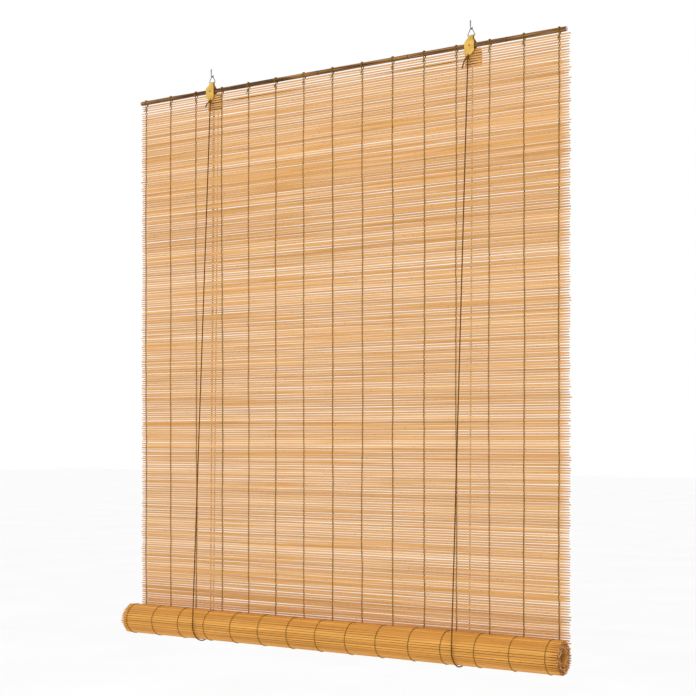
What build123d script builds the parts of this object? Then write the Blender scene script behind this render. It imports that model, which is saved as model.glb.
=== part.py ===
"""Bamboo roll up blind, 90 x 180 cm, let down about a metre.

X runs along the blind, -Y faces the room and +Z is up.  The origin lies midway between
the two screw hooks, in the plane of the ceiling that they are screwed into.  All sizes
are in millimetres.
"""

from build123d import *
from math import acos, atan2, cos, degrees, floor, hypot, pi, radians, sin, tan
import os

os.makedirs("parts", exist_ok=True)

# ---- driving dimensions ------------------------------------------------------------
rod_length = 900.0          # head rod, a round cane
rod_radius = 4.0
rod_drop = 35.0             # from the ceiling down to the head rod's axis
blind_drop = 995.0          # from the head rod's axis down to the roll's axis
slat_overhang = 2.0         # how much longer each slat is than the rod, at each end
slat_shift = 3.5            # how far the mat sits to the right of the rod's middle
slat_width = 2.8
slat_thickness = 1.6
slat_pitch = 4.16
warp_count = 15
warp_margin = 12.5          # from the rod's end to the outermost warp
thread_dia = 1.0
roll_outer_radius = 28.9
layer_pitch = 2.9           # one turn of the roll lies this far inside the next
bottom_rod_radius = 8.6
bracket_inset = 173.8       # from the rod's end to each bracket's nail
sheet_thickness = 0.8       # brass-plated sheet of the brackets
wire_dia = 1.5              # bail wire
hook_wire_dia = 1.8
stud_radius = 1.1           # threaded end of a screw hook
stud_length = 8.0
nail_radius = 0.9
axle_radius = 1.5           # rivets that the guide wheels turn on
cord_dia = 2.2
wheel_pitch_radius = 6.0    # from a wheel's axis to the cord's centre line
wheel_drop = 24.0           # from the head rod's axis down to the wheels' axis
wheel_inset = 6.7           # the wheels sit this far in from their bracket's nail
fit_gap = 0.05              # between a pin and its hole, a thread and its slat
seat_gap = 0.3              # between a cord or a soft piece and what carries it
roll_back_gap = 0.2         # the roll's skin stands this far behind the slats' backs

# ---- places worked out from them ---------------------------------------------------
rod_z = -rod_drop
roll_z = rod_z - blind_drop
slat_half = slat_thickness / 2
thread_half = thread_dia / 2
mat_back = slat_half + thread_dia + fit_gap
roll_y = slat_half + roll_back_gap - roll_outer_radius
slat_length = rod_length + 2 * slat_overhang
bracket_half_spacing = rod_length / 2 - bracket_inset
warp_spacing = (rod_length - 2 * warp_margin) / (warp_count - 1)
warp_places = [(i - (warp_count - 1) / 2) * warp_spacing for i in range(warp_count)]
cord_half = cord_dia / 2


def save(part, name):
    """Labels a finished piece and writes its STEP file."""
    part.label = name
    export_step(part, f"parts/{name}.step")


def bend_radii(points, share=0.45):
    """The largest even radius at each corner of a cord's route."""
    spots = [Vector(*p) for p in points]
    radii = []
    for before, corner, after in zip(spots, spots[1:], spots[2:]):
        run_in, run_out = corner - before, after - corner
        half_turn = radians(run_in.get_angle(run_out)) / 2
        radii.append(share * min(run_in.length, run_out.length) / tan(half_turn))
    return radii


def round_tube(points, diameter, radii=None):
    """A solid round cord or wire through the points, with tangent arcs at its corners."""
    with BuildPart() as run:
        with BuildLine() as route:
            if len(points) == 2:
                Line(*points)
            else:
                FilletPolyline(*points, radius=radii or bend_radii(points))
        with BuildSketch(Plane(origin=route.line @ 0, z_dir=route.line % 0)):
            Circle(diameter / 2)
        sweep()
    return run.part


# ---- head rod: a round cane with its growth rings ---------------------------------
ring_gap = 3 * warp_spacing
ring_places = [(i - 2) * ring_gap - warp_spacing / 2 for i in range(5)]
ring_rise = 0.35
ring_half_width = 3.0

with BuildPart() as head_rod:
    with Locations(Plane.YZ.offset(-rod_length / 2)):
        with Locations((0, rod_z)):
            Cylinder(rod_radius, rod_length, align=(Align.CENTER, Align.CENTER, Align.MIN))
    for ring_x in ring_places:
        with BuildSketch(Plane.XZ) as ring_section:
            with BuildLine():
                ring_foot = rod_z + rod_radius - ring_rise
                ring_top = rod_z + rod_radius + ring_rise
                ThreePointArc((ring_x - ring_half_width, ring_foot), (ring_x, ring_top),
                              (ring_x + ring_half_width, ring_foot))
                Line((ring_x + ring_half_width, ring_foot), (ring_x - ring_half_width, ring_foot))
            make_face()
        revolve(axis=Axis((0, 0, rod_z), (1, 0, 0)))
    for side in (-1, 1):
        with BuildSketch(Plane.XZ):
            with Locations((side * bracket_half_spacing, rod_z)):
                Circle(nail_radius + fit_gap)
        extrude(amount=2 * rod_radius, both=True, mode=Mode.SUBTRACT)
save(head_rod.part, "head_rod")

# ---- hanging mat: split bamboo slats in three cut lengths --------------------------
first_slat_drop = 3.2       # from the rod's underside to the first slat's middle
last_slat_rise = 2.0        # the mat joins the roll a little above the roll's axis
first_slat_z = rod_z - rod_radius - first_slat_drop
last_slat_z = roll_z + last_slat_rise
slat_count = floor((first_slat_z - last_slat_z) / slat_pitch) + 1
slat_levels = [first_slat_z - i * slat_pitch for i in range(slat_count)]
cut_lengths = 3
cut_step = 1.8
skin_rise = 0.3
slat_left = slat_shift - slat_length / 2

with BuildSketch() as slat_section:
    with BuildLine():
        Polyline((skin_rise - slat_half, slat_width / 2), (slat_half, slat_width / 2),
                 (slat_half, -slat_width / 2), (skin_rise - slat_half, -slat_width / 2))
        ThreePointArc((skin_rise - slat_half, -slat_width / 2), (-slat_half, 0),
                      (skin_rise - slat_half, slat_width / 2))
    make_face()

with BuildPart() as hanging_slats:
    for cut in range(cut_lengths):
        with BuildSketch(Plane.YZ.offset(slat_left + (cut - 1) * cut_step)):
            with Locations(*[(0, level) for level in slat_levels[cut::cut_lengths]]):
                add(slat_section.sketch_local)
        extrude(amount=slat_length)
save(hanging_slats.part, "hanging_slats")

# ---- warp threads: each passes over the rod and down both faces of the mat ---------
loop_radius = rod_radius + ring_rise + thread_half + fit_gap
mat_y = slat_half + thread_half + fit_gap
neck_drop = rod_radius + first_slat_drop + 0.3
neck_bend = 2.0
neck_reach = hypot(mat_y, neck_drop)
touch_angle = atan2(mat_y, neck_drop) + acos(loop_radius / neck_reach)
touch_y = loop_radius * sin(touch_angle)
touch_z = rod_z - loop_radius * cos(touch_angle)
warp_foot = slat_levels[-1] - slat_width / 2

for number, warp_x in enumerate(warp_places, start=1):
    with BuildPart() as warp:
        with BuildLine(Plane.YZ.offset(warp_x)):
            FilletPolyline((-mat_y, warp_foot), (-mat_y, rod_z - neck_drop),
                           (-touch_y, touch_z), radius=neck_bend)
            ThreePointArc((-touch_y, touch_z), (0, rod_z + loop_radius), (touch_y, touch_z))
            FilletPolyline((touch_y, touch_z), (mat_y, rod_z - neck_drop),
                           (mat_y, warp_foot), radius=neck_bend)
        with BuildSketch(Plane.XY.offset(warp_foot)):
            with Locations((warp_x, -mat_y)):
                Circle(thread_half)
        sweep()
    save(warp.part, f"warp_thread_{number:02d}")

# ---- small knots that tie the warps under the rod ----------------------------------
warp_knot_radius = 1.3
with BuildPart() as warp_knots:
    with Locations(*[(x, -mat_y - thread_half - warp_knot_radius - fit_gap,
                      slat_levels[1]) for x in warp_places]):
        Sphere(warp_knot_radius)
save(warp_knots.part, "warp_knots")

# ---- the roll: the wound part of the mat, one spiral body --------------------------
outer_slats = round(2 * pi * roll_outer_radius / slat_pitch)
roll_bore = bottom_rod_radius + seat_gap


def spiral_point(radius, turn):
    """A point on the roll's skin, from its back (0) down, round the front and over."""
    reach = radius - layer_pitch * turn
    angle = 2 * pi * turn
    return (roll_y + reach * cos(angle), roll_z - reach * sin(angle))


with BuildPart() as roll:
    with BuildSketch(Plane.YZ.offset(slat_left)):
        with BuildLine():
            skin = [spiral_point(roll_outer_radius, i / outer_slats) for i in range(outer_slats + 1)]
            Polyline(*skin, close=True)
        make_face()
        with Locations((roll_y, roll_z)):
            Circle(roll_bore, mode=Mode.SUBTRACT)
    extrude(amount=slat_length)
save(roll.part, "roll")

# ---- bottom rod: a thick cane that weighs the blind down, inside the roll ----------
bottom_rod_recess = 4.0     # its ends lie this far inside the roll
bottom_rod_chamfer = 0.6
bottom_rod_length = slat_length - 2 * bottom_rod_recess
with BuildPart() as bottom_rod:
    with BuildSketch(Plane.YZ.offset(slat_shift - bottom_rod_length / 2)):
        with Locations((roll_y, roll_z)):
            Circle(bottom_rod_radius)
    extrude(amount=bottom_rod_length)
    chamfer(bottom_rod.edges().filter_by(GeomType.CIRCLE), length=bottom_rod_chamfer)
save(bottom_rod.part, "bottom_rod")

# ---- warp threads on the roll's skin -----------------------------------------------
band_steps = 16
band_step_angle = 20.0
band_reach = roll_outer_radius + thread_half + fit_gap


def band_route(warp_x):
    """A thread's way round the roll, as tangent arcs over a polygon of its skin."""
    spread = cos(radians(band_step_angle / 2))
    route = []
    for step in range(1, band_steps):
        turn = step * band_step_angle / 360
        y, z = spiral_point(band_reach / spread, turn)
        route.append((warp_x, y, z))
    return route


with BuildPart() as roll_threads:
    for warp_x in warp_places:
        band = band_route(warp_x)
        add(round_tube(band, thread_dia, [0.85 * roll_outer_radius] * (len(band) - 2)))
save(roll_threads.part, "roll_threads")

# ---- brackets: one folded strip each -----------------------------------------------
bail_y = 3.0                # the bails hang a little behind the rod's axis
bail_foot_rise = 17.2       # from the rod's axis up to the fold that holds the bail
bail_foot_z = rod_z + bail_foot_rise
fold_radius = wire_dia / 2 + fit_gap + sheet_thickness / 2
leaf_gap = 0.1
leaf_y = -(rod_radius + leaf_gap + sheet_thickness / 2)
leaf_lean_z = rod_z + 6.0
leaf_bottom_z = rod_z - 17.6
neck_half = 4.6
shoulder_half = 9.1
wheel_z = rod_z - wheel_drop
wheel_wall = 0.5
groove_gap = 0.1
wheel_width = cord_dia + 2 * (groove_gap + wheel_wall)
wheel_gap = 0.2
wheel_rim = 1.4             # the rim stands this far past the cord's centre line
wheel_rim_radius = wheel_pitch_radius + wheel_rim
rivet_head_height = 0.8
mat_clearance = 0.45        # between the mat's back threads and the rivet's head
front_wheel_y = mat_back + mat_clearance + rivet_head_height + wheel_gap + wheel_width / 2
rear_wheel_y = front_wheel_y + wheel_width + wheel_gap
back_leg_y = rod_radius + 1.0
plate_gap = 0.4             # between the rear wheels and the back plate
back_plate_y = rear_wheel_y + wheel_width / 2 + plate_gap + sheet_thickness / 2
back_plate_half = 16.0
back_plate_bottom = wheel_z - wheel_rim_radius - 2.6
back_plate_height = 33.0
jog_top_z = rod_z - 3.5
jog_bottom_z = rod_z - 9.5
strip_reach = 40.0


def bracket_strip():
    """The folded strip's side view, as wide as the back plate."""
    with BuildPart() as strip:
        with BuildSketch(Plane.YZ):
            with BuildLine():
                FilletPolyline((leaf_y, leaf_bottom_z), (leaf_y, leaf_lean_z),
                               (bail_y - fold_radius, bail_foot_z), radius=4.0)
                ThreePointArc((bail_y - fold_radius, bail_foot_z),
                              (bail_y, bail_foot_z + fold_radius),
                              (bail_y + fold_radius, bail_foot_z))
                FilletPolyline((bail_y + fold_radius, bail_foot_z), (back_leg_y, leaf_lean_z),
                               (back_leg_y, jog_top_z), (back_plate_y, jog_bottom_z),
                               (back_plate_y, back_plate_bottom), radius=2.0)
            trace(line_width=sheet_thickness)
        extrude(amount=back_plate_half, both=True)
    return strip.part


def bracket(side):
    """A bracket: the strip trimmed to its front leaf's and its back plate's outlines."""
    centre = side * bracket_half_spacing
    wheel_x = centre - side * wheel_inset
    with BuildPart() as holder:
        with Locations((centre, 0, 0)):
            add(bracket_strip())
        with BuildSketch(Plane.XZ.offset(strip_reach)) as outline:
            with BuildLine():
                Polyline((centre - side * 5.6, leaf_bottom_z), (centre + side * 3.8, leaf_bottom_z + 2.2),
                         (centre + side * shoulder_half, rod_z - 9.5),
                         (centre + side * shoulder_half, rod_z + 5.5),
                         (centre + side * neck_half, rod_z + 13.0),
                         (centre + side * neck_half, rod_z + strip_reach),
                         (centre - side * neck_half, rod_z + strip_reach),
                         (centre - side * neck_half, rod_z + 13.0),
                         (centre - side * shoulder_half, rod_z + 5.5),
                         (centre - side * shoulder_half, rod_z - 10.5), close=True)
            make_face()
        extrude(amount=-strip_reach - back_leg_y - sheet_thickness, mode=Mode.INTERSECT)
    with BuildPart() as plate:
        with Locations((centre, 0, 0)):
            add(bracket_strip())
        with BuildSketch(Plane.XZ.offset(-back_leg_y - sheet_thickness)):
            with Locations((centre, back_plate_bottom + back_plate_height / 2)):
                RectangleRounded(2 * back_plate_half, back_plate_height, 4.0)
        extrude(amount=-strip_reach, mode=Mode.INTERSECT)
    with BuildPart() as whole:
        add(holder.part)
        add(plate.part)
        with BuildSketch(Plane.XZ.offset(strip_reach)):
            with Locations((centre, rod_z)):
                Circle(nail_radius + fit_gap)
        extrude(amount=-2 * strip_reach, mode=Mode.SUBTRACT)
        with BuildSketch(Plane.XZ.offset(strip_reach)):
            with Locations((wheel_x, wheel_z)):
                Circle(axle_radius + fit_gap)
        extrude(amount=-2 * strip_reach, mode=Mode.SUBTRACT)
    return whole.part


for side, side_name in ((-1, "left"), (1, "right")):
    save(bracket(side), f"bracket_{side_name}")

# ---- nails: each pins a bracket's front leaf and back leg to the rod ---------------
nail_head_radius = 1.7
nail_head_height = 0.8
leaf_front = leaf_y - sheet_thickness / 2
nail_tip_y = back_leg_y + sheet_thickness / 2 + 1.2

for side, side_name in ((-1, "left"), (1, "right")):
    with BuildPart() as nail:
        with BuildSketch(Plane.XZ.offset(-leaf_front)):
            with Locations((side * bracket_half_spacing, rod_z)):
                Circle(nail_radius)
        extrude(amount=leaf_front - nail_tip_y)
        with BuildSketch(Plane.XZ.offset(-leaf_front)):
            with Locations((side * bracket_half_spacing, rod_z)):
                Circle(nail_head_radius)
        extrude(amount=nail_head_height, taper=25)
    save(nail.part, f"bracket_nail_{side_name}")

# ---- guide wheels and the rivets that they turn on ---------------------------------
groove_half = cord_half + groove_gap
groove_floor = wheel_pitch_radius - cord_half - 0.2
rivet_head_radius = 2.9
rivet_back = back_plate_y + sheet_thickness / 2


def wheel_centre_x(side):
    """Each wheel sits a little in from its bracket's nail."""
    return side * (bracket_half_spacing - wheel_inset)


def guide_wheel(centre_x, centre_y):
    """A grooved wheel that turns about a line along Y."""
    half = wheel_width / 2
    with BuildPart() as wheel:
        with BuildSketch(Plane.YZ.offset(centre_x)):
            with BuildLine():
                Polyline((centre_y - groove_half, wheel_z + groove_floor + groove_half),
                         (centre_y - groove_half, wheel_z + wheel_rim_radius),
                         (centre_y - half, wheel_z + wheel_rim_radius),
                         (centre_y - half, wheel_z + axle_radius + fit_gap),
                         (centre_y + half, wheel_z + axle_radius + fit_gap),
                         (centre_y + half, wheel_z + wheel_rim_radius),
                         (centre_y + groove_half, wheel_z + wheel_rim_radius),
                         (centre_y + groove_half, wheel_z + groove_floor + groove_half))
                ThreePointArc((centre_y + groove_half, wheel_z + groove_floor + groove_half),
                              (centre_y, wheel_z + groove_floor),
                              (centre_y - groove_half, wheel_z + groove_floor + groove_half))
            make_face()
        revolve(axis=Axis((centre_x, 0, wheel_z), (0, 1, 0)))
    return wheel.part


def wheel_rivet(centre_x, first_wheel_y):
    """A headed pin through the wheels, its other end peened behind the back plate."""
    front = first_wheel_y - wheel_width / 2 - wheel_gap
    with BuildPart() as rivet:
        with Locations(Plane.XZ.offset(-front + rivet_head_height)):
            with Locations((centre_x, wheel_z)):
                Cylinder(rivet_head_radius, rivet_head_height,
                         align=(Align.CENTER, Align.CENTER, Align.MAX))
                Cylinder(axle_radius, rivet_back - front + 2 * rivet_head_height,
                         align=(Align.CENTER, Align.CENTER, Align.MAX))
        with Locations(Plane.XZ.offset(-rivet_back)):
            with Locations((centre_x, wheel_z)):
                Cylinder(rivet_head_radius, rivet_head_height,
                         align=(Align.CENTER, Align.CENTER, Align.MAX))
    return rivet.part


left_wheel_x, right_wheel_x = wheel_centre_x(-1), wheel_centre_x(1)
save(guide_wheel(left_wheel_x, front_wheel_y), "guide_wheel_left_front")
save(guide_wheel(left_wheel_x, rear_wheel_y), "guide_wheel_left_rear")
save(guide_wheel(right_wheel_x, rear_wheel_y), "guide_wheel_right")
save(wheel_rivet(left_wheel_x, front_wheel_y), "wheel_rivet_left")
save(wheel_rivet(right_wheel_x, rear_wheel_y), "wheel_rivet_right")

# ---- bails: closed wire triangles held in the brackets' folds ----------------------
bail_half = 7.6
bail_corner = 1.4
bail_crown = 2.0
bail_height = 14.9
bail_peak_z = bail_foot_z + bail_height
bail_crown_z = bail_peak_z - bail_crown * (hypot(bail_half, bail_height) / bail_half - 1)

for side, side_name in ((-1, "left"), (1, "right")):
    centre = side * bracket_half_spacing
    with BuildPart() as bail:
        with BuildLine() as bail_line:
            Polyline((centre, bail_y, bail_foot_z), (centre + bail_half, bail_y, bail_foot_z),
                     (centre, bail_y, bail_peak_z), (centre - bail_half, bail_y, bail_foot_z),
                     close=True)
            fillet(bail_line.vertices().group_by(Axis.Z)[-1], radius=bail_crown)
            fillet(bail_line.vertices().group_by(Axis.X)[0], radius=bail_corner)
            fillet(bail_line.vertices().group_by(Axis.X)[-1], radius=bail_corner)
        with BuildSketch(Plane(origin=(centre, bail_y, bail_foot_z), z_dir=(1, 0, 0))):
            Circle(wire_dia / 2)
        sweep()
    save(bail.part, f"bail_{side_name}")

# ---- screw hooks: the bowl opens away from the room --------------------------------
bowl_radius = bail_y
bowl_z = bail_crown_z - wire_dia / 2 - hook_wire_dia / 2 - fit_gap + bowl_radius
hook_tip_rise = 1.2
stud_point = 2.0

for side, side_name in ((-1, "left"), (1, "right")):
    centre = side * bracket_half_spacing
    with BuildPart() as hook:
        with BuildLine():
            Line((centre, 0, 0), (centre, 0, bowl_z))
            ThreePointArc((centre, 0, bowl_z), (centre, bowl_radius, bowl_z - bowl_radius),
                          (centre, 2 * bowl_radius, bowl_z))
            Line((centre, 2 * bowl_radius, bowl_z), (centre, 2 * bowl_radius, bowl_z + hook_tip_rise))
        with BuildSketch(Plane.XY):
            with Locations((centre, 0)):
                Circle(hook_wire_dia / 2)
        sweep()
        with Locations((centre, 0, 0)):
            Cylinder(stud_radius, stud_length - stud_point,
                     align=(Align.CENTER, Align.CENTER, Align.MIN))
        with Locations((centre, 0, stud_length - stud_point)):
            Cone(stud_radius, 0.2, stud_point, align=(Align.CENTER, Align.CENTER, Align.MIN))
    save(hook.part, f"screw_hook_{side_name}")

# ---- lift cords: knotted under the front leaf, down, round the roll and up behind --
sling_radius = roll_outer_radius + cord_half + seat_gap
sling_x_inset = 3.2
knot_radius = 2.4
knot_lead = 0.8             # the knots stand this far in front of the leaf's middle
knot_y = leaf_y - knot_lead
knot_z = leaf_bottom_z - knot_radius - 0.1
run_gap = 0.1
wheel_lead = 2.0
cord_top_z = wheel_z - wheel_lead


def touch_point(y, z, front):
    """Where a straight cord from (y, z) above meets its sling round the roll."""
    reach = hypot(y - roll_y, z - roll_z)
    opening = acos(sling_radius / reach)
    angle = atan2(z - roll_z, y - roll_y) + (opening if front else -opening)
    return angle, roll_y + sling_radius * cos(angle), roll_z + sling_radius * sin(angle)


def straight_run(high, low, high_gap, low_gap):
    """A taut stretch of cord, its ends kept clear of what it meets."""
    start, end = Vector(*high), Vector(*low)
    along = (end - start).normalized()
    return round_tube([start + along * high_gap, end - along * low_gap], cord_dia)


def cord_sling(centre_x, front_angle, back_angle):
    """The stretch of a lift cord that carries the roll."""
    with BuildPart() as sling:
        with BuildLine(Plane.YZ.offset(centre_x)) as under:
            CenterArc((roll_y, roll_z), sling_radius, degrees(front_angle),
                      360 + degrees(back_angle) - degrees(front_angle))
        with BuildSketch(Plane(origin=under.line @ 0, z_dir=under.line % 0)):
            Circle(cord_half)
        sweep()
    return sling.part


tail_offset = (-1.5, -0.9, 0.0)
knot_tail = {"left": (-8.0, -1.2, -7.0), "right": (-8.5, -1.2, -15.0)}

for side, side_name, wheel_y, back_x in (
    (-1, "left", front_wheel_y, left_wheel_x + wheel_pitch_radius),
    (1, "right", rear_wheel_y, right_wheel_x + wheel_pitch_radius),
):
    knot_x = side * (bracket_half_spacing - 2.0)
    sling_x = side * (bracket_half_spacing - sling_x_inset)
    front_angle, front_y, front_z = touch_point(knot_y, knot_z, True)
    back_angle, back_y, back_z = touch_point(wheel_y, cord_top_z, False)
    knot_spot = Vector(knot_x, knot_y, knot_z)
    tail_root = knot_spot + Vector(*tail_offset)
    with BuildPart() as knot:
        with Locations(knot_spot):
            Sphere(knot_radius)
        add(round_tube([tail_root, tail_root + Vector(*knot_tail[side_name])], cord_dia))
    save(knot.part, f"cord_knot_{side_name}")
    front_run = straight_run(knot_spot, (sling_x, front_y, front_z), knot_radius + run_gap, run_gap)
    save(front_run, f"lift_cord_front_{side_name}")
    save(cord_sling(sling_x, front_angle, back_angle), f"lift_cord_sling_{side_name}")
    back_run = straight_run((back_x, wheel_y, cord_top_z), (sling_x, back_y, back_z), run_gap, run_gap)
    save(back_run, f"lift_cord_back_{side_name}")

# ---- the left cord turns over its own wheel ----------------------------------------
wheel_top_z = wheel_z + wheel_pitch_radius
left_up_x = left_wheel_x + wheel_pitch_radius
left_down_x = left_wheel_x - wheel_pitch_radius
with BuildPart() as wheel_turn:
    with BuildLine():
        Line((left_up_x, front_wheel_y, cord_top_z), (left_up_x, front_wheel_y, wheel_z))
        ThreePointArc((left_up_x, front_wheel_y, wheel_z), (left_wheel_x, front_wheel_y, wheel_top_z),
                      (left_down_x, front_wheel_y, wheel_z))
        Line((left_down_x, front_wheel_y, wheel_z), (left_down_x, front_wheel_y, cord_top_z))
    with BuildSketch(Plane.XY.offset(cord_top_z)):
        with Locations((left_up_x, front_wheel_y)):
            Circle(cord_half)
    sweep()
save(wheel_turn.part, "lift_cord_turn_left")

# ---- the right cord crosses behind the mat to the left bracket's rear wheel --------
cross_sag = 3.0
right_up_x = right_wheel_x + wheel_pitch_radius
cross_route = [
    (right_up_x, rear_wheel_y, cord_top_z),
    (right_up_x, rear_wheel_y, wheel_top_z),
    (right_wheel_x / 2, rear_wheel_y, wheel_top_z - 0.75 * cross_sag),
    (0.0, rear_wheel_y, wheel_top_z - cross_sag),
    (left_wheel_x / 2, rear_wheel_y, wheel_top_z - 0.75 * cross_sag),
    (left_down_x, rear_wheel_y, wheel_top_z),
    (left_down_x, rear_wheel_y, cord_top_z),
]
cross_radii = bend_radii(cross_route)
cross_radii[0] = cross_radii[-1] = wheel_pitch_radius
save(round_tube(cross_route, cord_dia, cross_radii), "lift_cord_cross_run")

# ---- pull cords: both hang from the left bracket and end in one knot ----------------
pull_left_route = [
    (left_down_x, front_wheel_y, cord_top_z - run_gap),
    (left_down_x - 0.6, front_wheel_y + 0.2, -215.0),
    (left_down_x - 3.0, front_wheel_y + 0.6, -460.0),
    (left_down_x - 5.6, front_wheel_y + 0.8, -736.0),
    (left_down_x - 7.0, front_wheel_y + 1.2, -1012.0),
]
pull_right_route = [
    (left_down_x, rear_wheel_y, cord_top_z - run_gap),
    (left_down_x - 1.2, rear_wheel_y + 0.3, -215.0),
    (left_down_x - 4.2, rear_wheel_y + 0.2, -460.0),
    (left_down_x - 7.4, rear_wheel_y, -736.0),
    (left_down_x - 9.2, rear_wheel_y - 0.4, -1012.0),
]
end_knot_radius = 4.0
end_knot_spot = Vector((pull_left_route[-1][0] + pull_right_route[-1][0]) / 2,
                       (pull_left_route[-1][1] + pull_right_route[-1][1]) / 2,
                       pull_left_route[-1][2] - end_knot_radius - run_gap)
save(round_tube(pull_left_route, cord_dia), "pull_cord_left")
save(round_tube(pull_right_route, cord_dia), "pull_cord_right")
with BuildPart() as end_knot:
    with Locations(end_knot_spot):
        Sphere(end_knot_radius)
    for tail in ((-1.6, 0.4, -15.0), (1.9, -0.3, -13.0)):
        add(round_tube([end_knot_spot, end_knot_spot + Vector(*tail)], cord_dia))
save(end_knot.part, "pull_cord_knot")

for cord_name, route in (("cross run", cross_route), ("left pull cord", pull_left_route),
                         ("right pull cord", pull_right_route)):
    print(cord_name, "bend radii:", [round(radius) for radius in bend_radii(route)])
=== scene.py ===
"""Looks of the bamboo roll up blind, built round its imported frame."""

import math

import bpy
import numpy as np
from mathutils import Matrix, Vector


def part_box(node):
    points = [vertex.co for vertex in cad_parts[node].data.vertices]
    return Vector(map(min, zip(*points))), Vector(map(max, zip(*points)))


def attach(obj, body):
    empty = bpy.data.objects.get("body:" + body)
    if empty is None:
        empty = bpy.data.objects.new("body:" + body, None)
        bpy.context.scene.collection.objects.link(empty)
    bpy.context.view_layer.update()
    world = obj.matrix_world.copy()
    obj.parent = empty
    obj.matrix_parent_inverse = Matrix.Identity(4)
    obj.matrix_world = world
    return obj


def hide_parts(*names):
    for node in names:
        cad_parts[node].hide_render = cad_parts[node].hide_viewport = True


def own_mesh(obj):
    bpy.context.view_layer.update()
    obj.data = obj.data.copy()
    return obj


bl_info = {
    "name": "Bamboo Roll Up Blind",
    "version": (1, 0, 0),
    "blender": (4, 5, 0),
    "location": "View3D > Sidebar > Blind",
    "description": "Makes the slats, threads, cords and finishes of a bamboo roll up blind",
    "category": "Object",
}

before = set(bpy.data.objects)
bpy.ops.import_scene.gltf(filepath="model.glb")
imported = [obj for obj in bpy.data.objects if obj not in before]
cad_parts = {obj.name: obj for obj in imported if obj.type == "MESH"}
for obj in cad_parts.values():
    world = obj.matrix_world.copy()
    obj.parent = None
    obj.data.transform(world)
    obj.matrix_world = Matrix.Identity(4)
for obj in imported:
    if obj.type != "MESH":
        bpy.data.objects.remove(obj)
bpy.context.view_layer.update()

MM = 0.001
SIDES = {"left": -1, "right": 1}


# ---- places read from the frame ----------------------------------------------------

def box_middle(node):
    """The middle of a CAD node's box."""
    low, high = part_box(node)
    return (Vector(low) + Vector(high)) / 2


ROD_LOW, ROD_HIGH = (Vector(corner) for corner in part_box("head_rod"))
ROD_MIDDLE = box_middle("head_rod")
SLATS_LOW, SLATS_HIGH = (Vector(corner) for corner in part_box("hanging_slats"))
ROLL_AXIS = box_middle("bottom_rod")
WARP_PLACES = [box_middle(f"warp_thread_{number:02d}").x for number in range(1, 16)]
RING_SPACING = 187.5 * MM
RING_SHIFT = 31.25 * MM
JOINT_SPACING = 0.31


# ---- what a user would change --------------------------------------------------------

class BlindMatSettings(bpy.types.PropertyGroup):
    """Sizes of the split bamboo mat."""

    slat_width: bpy.props.FloatProperty(
        name="Slat Width", description="Height of one slat's face", default=3.65 * MM, unit="LENGTH")
    slat_thickness: bpy.props.FloatProperty(
        name="Slat Thickness", description="Front to back", default=1.6 * MM, unit="LENGTH")
    slat_pitch: bpy.props.FloatProperty(
        name="Slat Pitch", description="From one slat to the next", default=4.16 * MM, unit="LENGTH")
    layer_pitch: bpy.props.FloatProperty(
        name="Layer Pitch", description="From one turn of the roll to the next", default=2.9 * MM,
        unit="LENGTH")
    tip_wander: bpy.props.FloatProperty(
        name="Tip Wander", description="How unevenly the slats were cut", default=0.9 * MM, unit="LENGTH")
    bow: bpy.props.FloatProperty(
        name="Bow", description="How far a slat strays from straight", default=0.24 * MM, unit="LENGTH")


class BlindCordSettings(bpy.types.PropertyGroup):
    """Sizes of the threads and cords."""

    thread_radius: bpy.props.FloatProperty(
        name="Thread Radius", description="Half a warp strand's thickness", default=0.66 * MM, unit="LENGTH")
    cord_radius: bpy.props.FloatProperty(
        name="Cord Radius", description="Half a lift cord's thickness", default=1.1 * MM, unit="LENGTH")
    lay_length: bpy.props.FloatProperty(
        name="Lay Length", description="Cord length in which its strands turn once", default=9.0 * MM,
        unit="LENGTH")


class BlindColourSettings(bpy.types.PropertyGroup):
    """Colours of the blind."""

    bamboo_pale: bpy.props.FloatVectorProperty(
        name="Bamboo Pale", description="The palest slats", subtype="COLOR", size=3,
        default=(0.87, 0.49, 0.19))
    bamboo_dark: bpy.props.FloatVectorProperty(
        name="Bamboo Dark", description="The darkest slats", subtype="COLOR", size=3,
        default=(0.62, 0.30, 0.09))
    cane: bpy.props.FloatVectorProperty(
        name="Cane", description="The head rod's skin", subtype="COLOR", size=3,
        default=(0.21, 0.10, 0.032))
    thread: bpy.props.FloatVectorProperty(
        name="Thread", description="Warp threads", subtype="COLOR", size=3, default=(0.30, 0.155, 0.022))
    cord: bpy.props.FloatVectorProperty(
        name="Cord", description="Lift cords", subtype="COLOR", size=3, default=(0.185, 0.075, 0.012))
    brass: bpy.props.FloatVectorProperty(
        name="Brass", description="Brass-plated hangers", subtype="COLOR", size=3,
        default=(0.72, 0.46, 0.10))


# ---- small tools ------------------------------------------------------------------------

def settings():
    """The scene's blind settings."""
    scene = bpy.context.scene
    return scene.blind_mat, scene.blind_cord, scene.blind_colour


def deselect():
    """Leaves edit mode and selects nothing."""
    if bpy.context.object and bpy.context.object.mode != "OBJECT":
        bpy.ops.object.mode_set(mode="OBJECT")
    bpy.ops.object.select_all(action="DESELECT")


def pick(*objects):
    """Selects these objects alone, the first one active."""
    deselect()
    for piece in objects:
        piece.select_set(True)
    bpy.context.view_layer.objects.active = objects[0]


def join(objects, name):
    """Joins meshes into one named piece."""
    pick(*objects)
    if len(objects) > 1:
        bpy.ops.object.join()
    piece = bpy.context.object
    piece.name = name
    piece.data.name = name
    return piece


def smooth(piece, angle=40):
    """Smooth shading with sharp edges kept."""
    pick(piece)
    bpy.ops.object.shade_smooth_by_angle(angle=math.radians(angle))


def finish_with(piece, material):
    """Gives a piece one finish."""
    piece.data.materials.clear()
    piece.data.materials.append(material)


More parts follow.
